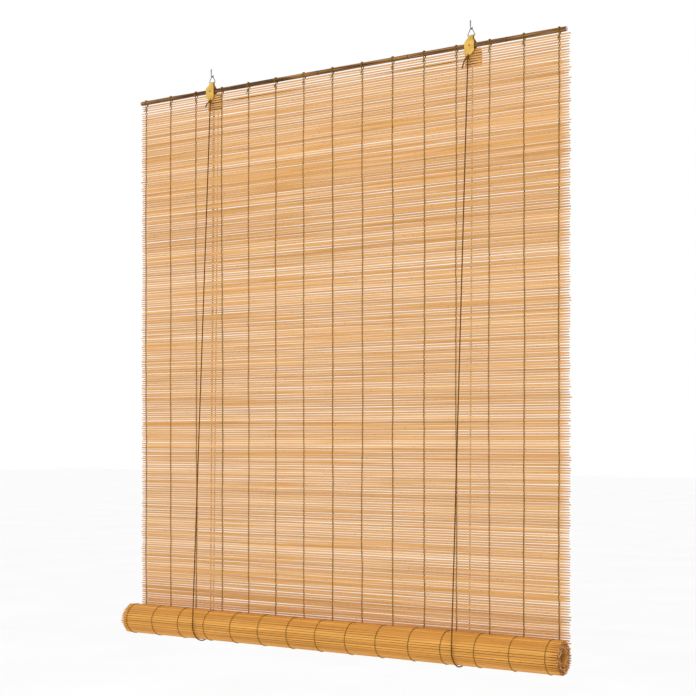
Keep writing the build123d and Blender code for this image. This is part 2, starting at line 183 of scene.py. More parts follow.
def mesh_points(mesh):
    """A mesh's points as an array."""
    flat = np.empty(3 * len(mesh.vertices))
    mesh.vertices.foreach_get("co", flat)
    return flat.reshape(-1, 3)


def points_of(piece):
    """A piece's points as an array."""
    return mesh_points(piece.data)


def move_points(piece, points):
    """Writes a mesh's points back."""
    piece.data.vertices.foreach_set("co", points.ravel())
    piece.data.update()


def tag_points(mesh, name, values):
    """Keeps one number for each point of a mesh, for its finish to read."""
    attribute = mesh.attributes.new(name, "FLOAT", "POINT")
    attribute.data.foreach_set("value", np.asarray(values, dtype=np.float32))


def select_edges(piece, wanted):
    """Selects the edges whose reach along X is wanted, and goes into edit mode."""
    bpy.ops.object.mode_set(mode="EDIT")
    bpy.ops.mesh.select_mode(type="EDGE")
    bpy.ops.mesh.select_all(action="DESELECT")
    bpy.ops.object.mode_set(mode="OBJECT")
    for edge in piece.data.edges:
        first, last = (piece.data.vertices[v].co for v in edge.vertices)
        edge.select = wanted(abs(first.x - last.x))
    bpy.ops.object.mode_set(mode="EDIT")


# ---- finishes -----------------------------------------------------------------------------

def new_finish(name, roughness, metallic=0.0, specular=0.5):
    """A material with its shader's plain values set; returns it with its nodes and links."""
    material = bpy.data.materials.new(name)
    material.use_nodes = True
    nodes, links = material.node_tree.nodes, material.node_tree.links
    shader = nodes["Principled BSDF"]
    shader.inputs["Roughness"].default_value = roughness
    shader.inputs["Metallic"].default_value = metallic
    shader.inputs["Specular IOR Level"].default_value = specular
    return material, nodes, links, shader


def object_noise(nodes, links, stretch, scale, detail=3.0):
    """Noise on the piece's own coordinates, stretched by a mapping."""
    place = nodes.new("ShaderNodeTexCoord")
    mapping = nodes.new("ShaderNodeMapping")
    mapping.inputs["Scale"].default_value = stretch
    noise = nodes.new("ShaderNodeTexNoise")
    noise.inputs["Scale"].default_value = scale
    noise.inputs["Detail"].default_value = detail
    links.new(place.outputs["Object"], mapping.inputs["Vector"])
    links.new(mapping.outputs["Vector"], noise.inputs["Vector"])
    return noise


def colour_ramp(nodes, links, factor, stops):
    """A colour ramp over a factor, from (place, colour) stops."""
    ramp = nodes.new("ShaderNodeValToRGB")
    links.new(factor, ramp.inputs["Fac"])
    ramp.color_ramp.elements[0].position = stops[0][0]
    ramp.color_ramp.elements[0].color = (*stops[0][1], 1)
    ramp.color_ramp.elements[1].position = stops[-1][0]
    ramp.color_ramp.elements[1].color = (*stops[-1][1], 1)
    for place, colour in stops[1:-1]:
        element = ramp.color_ramp.elements.new(place)
        element.color = (*colour, 1)
    return ramp


def mix_colour(nodes, links, factor, first, second, blend="MIX"):
    """Mixes two colours; a factor may be a socket or a number."""
    mix = nodes.new("ShaderNodeMix")
    mix.data_type = "RGBA"
    mix.blend_type = blend
    for value, socket in ((factor, mix.inputs["Factor"]), (first, mix.inputs["A"]),
                          (second, mix.inputs["B"])):
        socket = next(s for s in mix.inputs if s.name == socket.name and s.enabled)
        if isinstance(value, bpy.types.NodeSocket):
            links.new(value, socket)
        else:
            socket.default_value = value if isinstance(value, float) else (*value, 1)
    return next(s for s in mix.outputs if s.enabled)


def calculate(nodes, links, operation, first, second=0.0, third=None):
    """One step of arithmetic on sockets or numbers."""
    step = nodes.new("ShaderNodeMath")
    step.operation = operation
    for value, socket in zip((first, second, third), step.inputs):
        if isinstance(value, bpy.types.NodeSocket):
            links.new(value, socket)
        elif value is not None:
            socket.default_value = value
    return step.outputs["Value"]


def add_bump(nodes, links, shader, height, strength, distance):
    """Raises the surface by a height."""
    bump = nodes.new("ShaderNodeBump")
    bump.inputs["Strength"].default_value = strength
    bump.inputs["Distance"].default_value = distance
    links.new(height, bump.inputs["Height"])
    links.new(bump.outputs["Normal"], shader.inputs["Normal"])


def attribute_value(nodes, name):
    """The number that a mesh keeps at each point under this name."""
    attribute = nodes.new("ShaderNodeAttribute")
    attribute.attribute_name = name
    return attribute.outputs["Fac"]


def place_along(nodes, links):
    """The place along the blind."""
    place = nodes.new("ShaderNodeTexCoord")
    split = nodes.new("ShaderNodeSeparateXYZ")
    links.new(place.outputs["Object"], split.inputs["Vector"])
    return split.outputs["X"]


def darker(colour, share):
    """A colour times a share."""
    return tuple(channel * share for channel in colour)


def bamboo_finish(name, pale, dark):
    """Split bamboo: each slat its own tone, fibres along it and a darker joint here and there."""
    material, nodes, links, shader = new_finish(name, 0.6, specular=0.15)
    tone = attribute_value(nodes, "slat_tone")
    shift = attribute_value(nodes, "joint_shift")
    fibres = object_noise(nodes, links, (6.0, 900.0, 900.0), 1.0, detail=4.0)
    patches = object_noise(nodes, links, (9.0, 260.0, 260.0), 1.0, detail=2.0)
    blend = calculate(nodes, links, "MULTIPLY_ADD", patches.outputs["Fac"], 0.6, tone)
    blend = calculate(nodes, links, "SUBTRACT", blend, 0.3)
    pale, dark = tuple(pale), tuple(dark)
    middle = tuple((a + b) / 2 for a, b in zip(pale, dark))
    ramp = colour_ramp(nodes, links, blend, [(0.0, dark), (0.45, middle), (0.75, pale),
                                             (1.0, darker(pale, 1.15))])
    streaked = mix_colour(nodes, links, 0.45, ramp.outputs["Color"],
                          colour_ramp(nodes, links, fibres.outputs["Fac"],
                                      [(0.32, (0.52, 0.44, 0.36)), (0.62, (1.0, 1.0, 1.0))]
                                      ).outputs["Color"], "MULTIPLY")
    along = calculate(nodes, links, "ADD", place_along(nodes, links), shift)
    along = calculate(nodes, links, "WRAP", along, JOINT_SPACING, 0.0)
    away = calculate(nodes, links, "SUBTRACT", along, JOINT_SPACING / 2)
    away = calculate(nodes, links, "ABSOLUTE", away)
    joint = calculate(nodes, links, "LESS_THAN", away, 0.0011)
    marked = mix_colour(nodes, links, calculate(nodes, links, "MULTIPLY", joint, 0.25), streaked,
                        (0.24, 0.13, 0.05))
    links.new(marked, shader.inputs["Base Color"])
    add_bump(nodes, links, shader, fibres.outputs["Fac"], 0.5, 0.00025)
    return material


def cane_finish(name, colour, along_period):
    """A brown cane's skin: long streaks, pale flecks and a dark line at each growth ring."""
    material, nodes, links, shader = new_finish(name, 0.5, specular=0.12)
    streaks = object_noise(nodes, links, (14.0, 700.0, 700.0), 1.0, detail=5.0)
    clouds = object_noise(nodes, links, (9.0, 60.0, 60.0), 1.0, detail=2.0)
    ramp = colour_ramp(nodes, links, streaks.outputs["Fac"],
                       [(0.38, darker(colour, 0.35)), (0.5, tuple(colour)), (0.63, darker(colour, 2.4))])
    cloudy = mix_colour(nodes, links, 0.5, ramp.outputs["Color"],
                        colour_ramp(nodes, links, clouds.outputs["Fac"],
                                    [(0.42, (0.5, 0.45, 0.4)), (0.58, (1.0, 1.0, 1.0))]
                                    ).outputs["Color"], "MULTIPLY")
    along = calculate(nodes, links, "ADD", place_along(nodes, links), along_period / 6)
    along = calculate(nodes, links, "WRAP", along, along_period, 0.0)
    ring = calculate(nodes, links, "LESS_THAN", along, 0.0012)
    ringed = mix_colour(nodes, links, calculate(nodes, links, "MULTIPLY", ring, 0.7), cloudy,
                        darker(colour, 0.25))
    links.new(ringed, shader.inputs["Base Color"])
    add_bump(nodes, links, shader, streaks.outputs["Fac"], 0.45, 0.0003)
    return material


def slat_end_finish():
    """The sawn end of a slat: pale fibres with dark pores."""
    material, nodes, links, shader = new_finish("slat_end", 0.8, specular=0.2)
    tone = attribute_value(nodes, "slat_tone")
    pores = object_noise(nodes, links, (300.0, 1300.0, 1300.0), 1.0)
    blend = calculate(nodes, links, "MULTIPLY_ADD", pores.outputs["Fac"], 0.6, tone)
    blend = calculate(nodes, links, "SUBTRACT", blend, 0.3)
    ramp = colour_ramp(nodes, links, blend, [(0.35, (0.05, 0.02, 0.008)), (0.5, (0.42, 0.22, 0.09)),
                                             (0.75, (0.72, 0.50, 0.28))])
    links.new(ramp.outputs["Color"], shader.inputs["Base Color"])
    return material


def pith_finish():
    """The cut end of a cane: pale pith full of fine pores."""
    material, nodes, links, shader = new_finish("cane_pith", 0.8, specular=0.2)
    pores = object_noise(nodes, links, (400.0, 1500.0, 1500.0), 1.0)
    ramp = colour_ramp(nodes, links, pores.outputs["Fac"],
                       [(0.35, (0.42, 0.24, 0.16)), (0.6, (0.80, 0.60, 0.50))])
    links.new(ramp.outputs["Color"], shader.inputs["Base Color"])
    add_bump(nodes, links, shader, pores.outputs["Fac"], 0.4, 0.0002)
    return material


def yarn_finish(name, colour, twist_scale):
    """Spun yarn: slanting fibres, a slight fuzz of tone and painted shade where a strand sinks between
    slats.
    """
    material, nodes, links, shader = new_finish(name, 0.9, specular=0.0)
    fuzz = object_noise(nodes, links, (twist_scale, twist_scale, twist_scale * 0.6), 1.0, detail=4.0)
    ramp = colour_ramp(nodes, links, fuzz.outputs["Fac"],
                       [(0.3, darker(colour, 0.55)), (0.55, tuple(colour)), (0.75, darker(colour, 2.1))])
    # Painted shade: the yarn turns near-black brown where the strand sinks back between the slats.
    dip_shade = attribute_value(nodes, "dip_shade")
    dip_shaded = mix_colour(nodes, links, dip_shade, ramp.outputs["Color"], darker(colour, 0.12))
    links.new(dip_shaded, shader.inputs["Base Color"])
    add_bump(nodes, links, shader, fuzz.outputs["Fac"], 0.6, 0.0003)
    return material


def plated_finish(name, colour, roughness, worn):
    """Plated sheet or wire: rolling marks, dull spots and tone that drifts a little."""
    material, nodes, links, shader = new_finish(name, roughness, metallic=0.85)
    drift = object_noise(nodes, links, (55.0, 55.0, 55.0), 1.0, detail=3.0)
    marks = object_noise(nodes, links, (900.0, 900.0, 120.0), 1.0, detail=4.0)
    ramp = colour_ramp(nodes, links, drift.outputs["Fac"],
                       [(0.3, worn), (0.55, tuple(colour)), (0.75, darker(colour, 1.12))])
    links.new(ramp.outputs["Color"], shader.inputs["Base Color"])
    rough = nodes.new("ShaderNodeMapRange")
    rough.inputs["To Min"].default_value = roughness - 0.1
    rough.inputs["To Max"].default_value = roughness + 0.2
    links.new(marks.outputs["Fac"], rough.inputs["Value"])
    links.new(rough.outputs["Result"], shader.inputs["Roughness"])
    add_bump(nodes, links, shader, marks.outputs["Fac"], 0.25, 0.0001)
    return material


def moulded_finish():
    """Brown moulded plastic of the guide wheels."""
    material, nodes, links, shader = new_finish("brown_moulding", 0.5)
    grain = object_noise(nodes, links, (600.0, 600.0, 600.0), 1.0)
    ramp = colour_ramp(nodes, links, grain.outputs["Fac"],
                       [(0.35, (0.055, 0.035, 0.022)), (0.65, (0.10, 0.065, 0.04))])
    links.new(ramp.outputs["Color"], shader.inputs["Base Color"])
    add_bump(nodes, links, shader, grain.outputs["Fac"], 0.15, 0.0001)
    return material


def finish(name):
    """A finish by name, made the first time it is asked for."""
    colours = settings()[2]
    makers = {
        "mat_bamboo": lambda: bamboo_finish("mat_bamboo", colours.bamboo_pale,
                                              colours.bamboo_dark),
        "cane_skin": lambda: cane_finish("cane_skin", colours.cane, RING_SPACING),
        "bottom_cane": lambda: cane_finish("bottom_cane", darker(colours.cane, 0.75), 0.23),
        "cane_pith": pith_finish,
        "slat_end": slat_end_finish,
        "wound_bamboo": lambda: bamboo_finish("wound_bamboo", (0.92, 0.46, 0.105),
                                              (0.52, 0.21, 0.034)),
        "warp_yarn": lambda: yarn_finish("warp_yarn", colours.thread, 1400.0),
        "loop_yarn": lambda: yarn_finish("loop_yarn", darker(colours.thread, 0.95), 1400.0),
        "lift_yarn": lambda: yarn_finish("lift_yarn", colours.cord, 900.0),
        "brass_plate": lambda: plated_finish("brass_plate", colours.brass, 0.36, (0.46, 0.26, 0.05)),
        "zinc_wire": lambda: plated_finish("zinc_wire", (0.27, 0.27, 0.28), 0.34, (0.12, 0.115, 0.11)),
        "nail_plate": lambda: plated_finish("nail_plate", (0.34, 0.22, 0.10), 0.45, (0.15, 0.09, 0.05)),
        "brown_moulding": moulded_finish,
    }
    return bpy.data.materials.get(name) or makers[name]()


# ---- threads and cords -----------------------------------------------------------------------

def new_curve(name, routes, kind="POLY", turns=None):
    """A curve with one open spline for each route."""
    curve = bpy.data.curves.new(name, "CURVE")
    curve.dimensions = "3D"
    for index, route in enumerate(routes):
        spline = curve.splines.new(kind)
        spline.points.add(len(route) - 1)
        flat = np.ones((len(route), 4))
        flat[:, :3] = route
        spline.points.foreach_set("co", flat.ravel())
        if turns is not None:
            spline.points.foreach_set("tilt", np.asarray(turns[index], dtype=np.float32))
        if kind == "NURBS":
            spline.order_u = 3
            spline.use_endpoint_u = True
            spline.resolution_u = 40
    piece = bpy.data.objects.new(name, curve)
    bpy.context.collection.objects.link(piece)
    return piece


def smooth_line(points):
    """The points of a smooth curve drawn from a cord's route."""
    guide = new_curve("guide", [points], "NURBS")
    bpy.context.view_layer.update()
    mesh = bpy.data.meshes.new_from_object(
        guide.evaluated_get(bpy.context.evaluated_depsgraph_get()))
    line = mesh_points(mesh)
    bpy.data.meshes.remove(mesh)
    bpy.data.objects.remove(guide)
    return line


def even_steps(points, step):
    """The same line in even steps, and the length up to each."""
    points = np.asarray(points, dtype=float)
    lengths = np.concatenate([[0.0], np.cumsum(np.linalg.norm(np.diff(points, axis=0), axis=1))])
    count = max(3, int(round(lengths[-1] / step)) + 1)
    places = np.linspace(0.0, lengths[-1], count)
    line = np.stack([np.interp(places, lengths, points[:, axis]) for axis in range(3)], axis=1)
    return line, places


def curve_mesh(piece):
    """Turns a curve into a mesh."""
    pick(piece)
    bpy.ops.object.convert(target="MESH")
    return bpy.context.object


def strand_section(radius):
    """The section of a laid cord: three strands side by side."""
    section = bpy.data.curves.get("strand_section")
    if section is None:
        angles = np.linspace(0, 2 * math.pi, 15, endpoint=False)
        reach = radius * (1.02 + 0.10 * np.cos(3 * angles))
        section = bpy.data.curves.new("strand_section", "CURVE")
        spline = section.splines.new("POLY")
        spline.points.add(len(angles) - 1)
        for point, angle, out in zip(spline.points, angles, reach):
            point.co = (out * math.cos(angle), out * math.sin(angle), 0, 1)
        spline.use_cyclic_u = True
    shape = bpy.data.objects.new("strand_section", section)
    bpy.context.collection.objects.link(shape)
    return shape


def laid_cord(name, routes, step=1.5 * MM):
    """A three-strand cord along each route, as one mesh."""
    cords = settings()[1]
    lines, turns = [], []
    for route in routes:
        line, places = even_steps(route, step)
        lines.append(line)
        turns.append(2 * math.pi * places / cords.lay_length)
    piece = new_curve(name, lines, turns=turns)
    shape = strand_section(cords.cord_radius)
    piece.data.bevel_mode = "OBJECT"
    piece.data.bevel_object = shape
    piece.data.use_fill_caps = True
    piece = curve_mesh(piece)
    bpy.data.objects.remove(shape)
    finish_with(piece, finish("lift_yarn"))
    smooth(piece, 80)
    return piece


def round_thread(name, routes, radius, sides=0):
    """A thin round thread along each route, as one mesh."""
    piece = new_curve(name, routes)
    piece.data.bevel_depth = radius
    piece.data.bevel_resolution = sides
    piece.data.use_fill_caps = True
    piece = curve_mesh(piece)
    smooth(piece, 80)
    return piece


def overhand_loop(centre, size, flatten=0.75, steps=64):
    """The closed line of a pulled-tight overhand knot, upright."""
    turn = np.linspace(0, 2 * math.pi, steps)
    across = (np.sin(turn) + 2 * np.sin(2 * turn)) / 3
    up = (np.cos(turn) - 2 * np.cos(2 * turn)) / 3
    out = -np.sin(3 * turn) * flatten / 1.6
    return np.array(centre) + size * np.stack([across, out, up], axis=1)


def ends_of_run(node, side):
    """Both ends of a straight cord run, from its CAD node's box."""
    low, high = (Vector(corner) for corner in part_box(node))
    half = bpy.context.scene.blind_cord.cord_radius
    outer = low.x + half if side < 0 else high.x - half
    inner = high.x - half if side < 0 else low.x + half
    front = "front" in node
    top_x = outer if front or side > 0 else inner
    foot_x = inner if front or side > 0 else outer
    near, far = low.y + half, high.y - half
    return Vector((top_x, far, high.z)), Vector((foot_x, near, low.z))


class BLIND_OT_pull_cords(bpy.types.Operator):
    """The two pull cords that hang from the left hanger, with the knot that ties them"""

    bl_idname = "blind.pull_cords"
    bl_label = "Pull Cords"

    def execute(self, context):
        left_route = [
            (-0.2755, 0.0050, -0.0611),
            (-0.2761, 0.0052, -0.215),
            (-0.2785, 0.0056, -0.460),
            (-0.2811, 0.0058, -0.736),
            (-0.2825, 0.0062, -1.012),
        ]
        right_route = [
            (-0.2755, 0.0086, -0.0611),
            (-0.2767, 0.0089, -0.215),
            (-0.2797, 0.0088, -0.460),
            (-0.2829, 0.0086, -0.736),
            (-0.2847, 0.0082, -1.012),
        ]
        knot_spot = box_middle("pull_cord_knot")
        knot_spot.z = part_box("pull_cord_knot")[1][2] - 4.0 * MM
        tails = [
            [(0.2, 0.3, 0.0), (-1.4, 0.6, -4.5), (-1.9, 0.2, -10.0), (-1.5, 0.4, -17.2)],
            [(-0.2, -0.3, 0.0), (1.2, -0.4, -4.0), (2.2, 0.0, -9.5), (1.8, -0.3, -15.0)],
        ]
        routes = [knot_spot + Vector(spot) * MM for tail in tails for spot in tail]
        routes = [smooth_line(routes[:4]), smooth_line(routes[4:])]
        loop = overhand_loop(knot_spot, 3.1 * MM)
        knot = laid_cord("pull_knot", [loop] + routes, step=0.9 * MM)
        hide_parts("pull_cord_knot")
        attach(knot, "blind")
        for name, node, route in (("pull_cord_one", "pull_cord_left", left_route),
                                  ("pull_cord_two", "pull_cord_right", right_route)):
            line = smooth_line(route)
            piece = laid_cord(name, [line])
            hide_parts(node)
            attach(piece, "blind")
        return {"FINISHED"}


class BLIND_OT_lift_cords(bpy.types.Operator):
    """The lift cords: knotted in front, down, round the roll and up behind to the wheels"""

    bl_idname = "blind.lift_cords"
    bl_label = "Lift Cords"

    def execute(self, context):
        half = settings()[1].cord_radius
        for side_name, side in SIDES.items():
            for place in ("front", "back"):
                node = f"lift_cord_{place}_{side_name}"
                top, foot = ends_of_run(node, side)
                piece = laid_cord(f"{place}_cord_{side_name}", [[top, foot]])
                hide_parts(node)
                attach(piece, "blind")
                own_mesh(piece)
            self.sling(side_name, half)
            self.knot(side_name, side)
        self.crossing(half)
        return {"FINISHED"}

    def sling(self, side_name, half):
        """The stretch under the roll."""
        node = f"lift_cord_sling_{side_name}"
        low, high = (Vector(corner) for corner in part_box(node))
        reach = ROLL_AXIS.z - low.z - half
        front_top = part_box(f"lift_cord_front_{side_name}")[0][2]
        back_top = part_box(f"lift_cord_back_{side_name}")[0][2]
        front = math.pi - math.asin((front_top - ROLL_AXIS.z) / reach)
        back = 2 * math.pi + math.asin((back_top - ROLL_AXIS.z) / reach)
        angles = np.linspace(front, back, 90)
        middle = (low.x + high.x) / 2
        route = np.stack([np.full_like(angles, middle), ROLL_AXIS.y + reach * np.cos(angles),
                          ROLL_AXIS.z + reach * np.sin(angles)], axis=1)
        piece = laid_cord(f"sling_cord_{side_name}", [route])
        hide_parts(node)
        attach(piece, "slings")

    def knot(self, side_name, side):
        """The knot under a hanger's front leaf, with its free tail."""
        top, _ = ends_of_run(f"lift_cord_front_{side_name}", side)
        centre = top + Vector((0, 0, 2.4)) * MM
        reach = 9.5 if side < 0 else 18.0
        tail = [(-0.5, -0.6, 0.0), (-3.0, -2.0, -0.6), (-6.5, -2.4, -0.45 * reach), (-9.5, -2.2, -reach)]
        tail_line = smooth_line([centre + Vector(spot) * MM for spot in tail])
        lead = smooth_line([centre + Vector(spot) * MM for spot in
                            ((0.0, 1.0, 6.0), (0.2, 0.9, 3.0), (0.0, 0.0, 0.0))])
        loop = overhand_loop(centre, 2.3 * MM)
        piece = laid_cord(f"leaf_knot_{side_name}", [loop, tail_line, lead], step=0.9 * MM)
        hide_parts(f"cord_knot_{side_name}")
        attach(piece, "blind")

    def crossing(self, half):
        """The cords over the wheels and the run behind the mat."""
        low, high = (Vector(corner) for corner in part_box("lift_cord_cross_run"))
        wheel = box_middle("guide_wheel_left_rear")
        other = box_middle("guide_wheel_right")
        pitch = high.z - half - wheel.z
        down = np.linspace(math.pi, math.pi / 2, 12)
        over_left = [(wheel.x + pitch * math.cos(a), wheel.y, wheel.z + pitch * math.sin(a)) for a in down]
        over_right = [(other.x + pitch * math.cos(math.pi - a), other.y,
                       wheel.z + pitch * math.sin(a)) for a in down[::-1]]
        across = np.linspace(0, 1, 40)[1:-1]
        sag = 3.0 * MM
        middle = [(over_left[-1][0] + (over_right[0][0] - over_left[-1][0]) * share, wheel.y,
                   over_left[-1][2] - sag * 4 * share * (1 - share)) for share in across]
        foot_left = (over_left[0][0], wheel.y, low.z)
        foot_right = (over_right[-1][0], wheel.y, low.z)
        piece = laid_cord("cross_cord", [[foot_left] + over_left + middle + over_right + [foot_right]])
        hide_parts("lift_cord_cross_run")
        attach(piece, "blind")
        front_wheel = box_middle("guide_wheel_left_front")
        over = [(front_wheel.x + pitch * math.cos(a), front_wheel.y, front_wheel.z + pitch * math.sin(a))
                for a in np.linspace(math.pi, 0, 22)]
        ends = [(over[0][0], front_wheel.y, low.z)], [(over[-1][0], front_wheel.y, low.z)]
        piece = laid_cord("turn_cord", [ends[0] + over + ends[1]])
        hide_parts("lift_cord_turn_left")
        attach(piece, "blind")


# ---- the mat ------------------------------------------------------------------------------------

SECTION = 6
STATIONS = 9


def slat_blank(stations, length):
    """One slat, lying along X: a flat back, a rounded skin and stations along its length."""
    mat = bpy.context.scene.blind_mat
    deselect()
    bpy.ops.mesh.primitive_cylinder_add(vertices=SECTION, radius=0.5, depth=length,
                                        rotation=(0, math.pi / 2, 0))
    blank = bpy.context.object
    bpy.ops.object.transform_apply(location=True, rotation=True, scale=True)
    points = points_of(blank)
    angle = np.arctan2(points[:, 2], points[:, 1])
    points[:, 1] = np.cos(angle) * mat.slat_thickness / 2
    points[:, 2] = np.sin(angle) / math.sin(math.pi / 3) * mat.slat_width / 2
    move_points(blank, points)
    if stations > 2:
        select_edges(blank, lambda reach: reach > length / 2)
        bpy.ops.mesh.subdivide(number_cuts=stations - 2)
        bpy.ops.object.mode_set(mode="OBJECT")
        points = points_of(blank)
        tips = np.abs(points[:, 0]) > length / 2 - 1 * MM
        next_in = np.isclose(np.abs(points[:, 0]), length / 2 * (stations - 3) / (stations - 1))
        points[next_in, 0] = np.sign(points[next_in, 0]) * (length / 2 - 16 * MM)
        points[tips, 2] *= 0.58
        move_points(blank, points)
    for face in blank.data.polygons:
        face.material_index = 1 if abs(face.normal.x) > 0.9 else 0
    smooth(blank, 50)
    blank.data.materials.append(finish("mat_bamboo"))
    blank.data.materials.append(finish("slat_end"))
    blank.name = "slat_blank"
    return blank


def slat_levels(mat):
    """Heights of the first and the last hanging slat, and how many there are."""
    top = SLATS_HIGH.z - mat.slat_width / 2
    foot = SLATS_LOW.z + mat.slat_width / 2
    return top, foot, int(round((top - foot) / mat.slat_pitch)) + 1


def lay_slat(blank, rng, centre, tilt, wild=1.0, narrow=1.0, ragged=(1.0, 1.0)):
    """One slat's mesh, uneven as split by hand, turned about X and put in its place."""
    mat = bpy.context.scene.blind_mat
    mesh = blank.data.copy()
    points = mesh_points(mesh)
    half = np.abs(points[:, 0]).max()
    share = points[:, 0] / half
    width = narrow * rng.uniform(0.86, 1.08)
    waves = rng.uniform(0, 2 * math.pi, 4)
    swell = 1 + 0.07 * np.sin(5.1 * share + waves[0]) + 0.05 * np.sin(11.3 * share + waves[1])
    thick = rng.uniform(0.85, 1.05) * (1 + 0.08 * np.sin(7.7 * share + waves[1]))
    stray = wild * mat.bow * (0.8 * np.sin(3.3 * share + waves[2]) + 0.5 * np.sin(8.9 * share + waves[3]))
    skew = wild * mat.bow * rng.uniform(-0.7, 0.7) * share
    y = points[:, 1] * thick
    z = points[:, 2] * width * swell
    z += stray + skew
    tip = np.where(share > 0.99, ragged[1] * rng.normal(0.0, 1.0),
                   np.where(share < -0.99, ragged[0] * rng.normal(0.0, 1.0), 0.0))
    x = points[:, 0] + mat.tip_wander * np.clip(tip, -3.0, 3.0)
    turned_y = y * math.cos(tilt) - z * math.sin(tilt)
    turned_z = y * math.sin(tilt) + z * math.cos(tilt)
    placed = np.stack([x + centre[0], turned_y + centre[1], turned_z + centre[2]], axis=1)
    mesh.vertices.foreach_set("co", placed.ravel())
    tone = rng.normal(0.5, 0.12)
    for name, value in (("slat_tone", tone), ("joint_shift", rng.uniform(0.0, 1.0))):
        tag_points(mesh, name, np.full(len(mesh.vertices), value))
    mesh.update()
    slat = bpy.data.objects.new("slat", mesh)
    bpy.context.collection.objects.link(slat)
    return slat


class BLIND_OT_hanging_mat(bpy.types.Operator):
    """The hanging mat of split bamboo slats"""

    bl_idname = "blind.hanging_mat"
    bl_label = "Hanging Mat"

    def execute(self, context):
        mat = settings()[0]
        rng = np.random.default_rng(41)
        length = SLATS_HIGH.x - SLATS_LOW.x - 4.0 * MM
        middle = (SLATS_LOW.x + SLATS_HIGH.x) / 2
        top, foot, count = slat_levels(mat)
        blank = slat_blank(STATIONS, length)
        slats = []
        for index in range(count):
            loose = 1.0 + 0.8 * math.exp(-index / 6)
            level = top + (foot - top) * index / (count - 1) + rng.normal(0, 0.07 * MM)
            centre = (middle + rng.normal(0, 0.5 * MM), rng.normal(0, 0.10 * MM), level)
            flip = math.pi if rng.random() < 0.4 else 0.0
            narrow = 1 - 0.30 * math.exp(-index / 9)
            slats.append(lay_slat(blank, rng, centre, flip, loose, narrow))
        bpy.data.objects.remove(blank)
        piece = join(slats, "slat_mat")
        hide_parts("hanging_slats")
        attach(piece, "blind")
        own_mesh(piece)
        return {"FINISHED"}


def spiral_places(mat, first_reach, last_reach):
    """Places round the roll, one for each slat: reach from the axis and angle."""
    places = []
    angle = 0.0
    reach = first_reach
    while reach > last_reach:
        places.append((reach, angle))
        angle += mat.slat_pitch / reach
        reach = first_reach - mat.layer_pitch * angle / (2 * math.pi)
    return places


class BLIND_OT_roll(bpy.types.Operator):
    """The roll at the foot: the mat wound round its bottom cane"""

    bl_idname = "blind.roll"
    bl_label = "Roll"

    def execute(self, context):
        mat = settings()[0]
        rng = np.random.default_rng(7)
        length = SLATS_HIGH.x - SLATS_LOW.x + 1.0 * MM
        middle = (SLATS_LOW.x + SLATS_HIGH.x) / 2
        skin = ROLL_AXIS.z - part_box("roll")[0][2]
        first = skin + 0.25 * mat.layer_pitch - mat.slat_thickness / 2
        core = (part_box("bottom_rod")[1][2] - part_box("bottom_rod")[0][2]) / 2
        places = spiral_places(mat, first, core + mat.slat_thickness / 2 + 0.3 * MM)
        turn = sum(1 for _, angle in places if angle < 2 * math.pi + 0.3)
        blank = slat_blank(STATIONS, length)
        plain = slat_blank(2, length)
        slats = []
        for index, (reach, angle) in enumerate(places):
            y = ROLL_AXIS.y + reach * math.cos(angle)
            z = ROLL_AXIS.z - reach * math.sin(angle)
            shape = blank if index <= turn else plain
            centre = (middle + rng.normal(0, 0.3 * MM), y, z)
            wild = 0.6 if index <= turn else 0.1
            slats.append(lay_slat(shape, rng, centre, math.pi - angle, wild, 1.0, (1.6, 0.25)))
        bpy.data.objects.remove(blank)
        bpy.data.objects.remove(plain)
        piece = join(slats, "wound_mat")
        piece.data.materials[0] = finish("wound_bamboo")
        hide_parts("roll")
        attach(piece, "roll")
        self.bands(mat, places)
        return {"FINISHED"}

    def bands(self, mat, places):
        """The warp threads round the roll's skin."""
        rng = np.random.default_rng(19)
        radius = bpy.context.scene.blind_cord.thread_radius
        routes = []
        for place in WARP_PLACES:
            wander = np.cumsum(rng.normal(0, 0.12 * MM, 200))
            route = []
            step = 0
            for reach, angle in places:
                if angle > 5.5:
                    break
                for share in (0.0, 0.5):
                    sweep = angle + share * mat.slat_pitch / reach
                    out = reach + mat.slat_thickness / 2 + (radius if share == 0.0 else -0.1 * MM)
                    route.append((place + wander[step], ROLL_AXIS.y + out * math.cos(sweep),
                                  ROLL_AXIS.z - out * math.sin(sweep)))
                    step += 1
            routes.append(route[2:])
        piece = round_thread("roll_bands", routes, radius)
        finish_with(piece, finish("warp_yarn"))
        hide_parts("roll_threads")
        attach(piece, "roll")


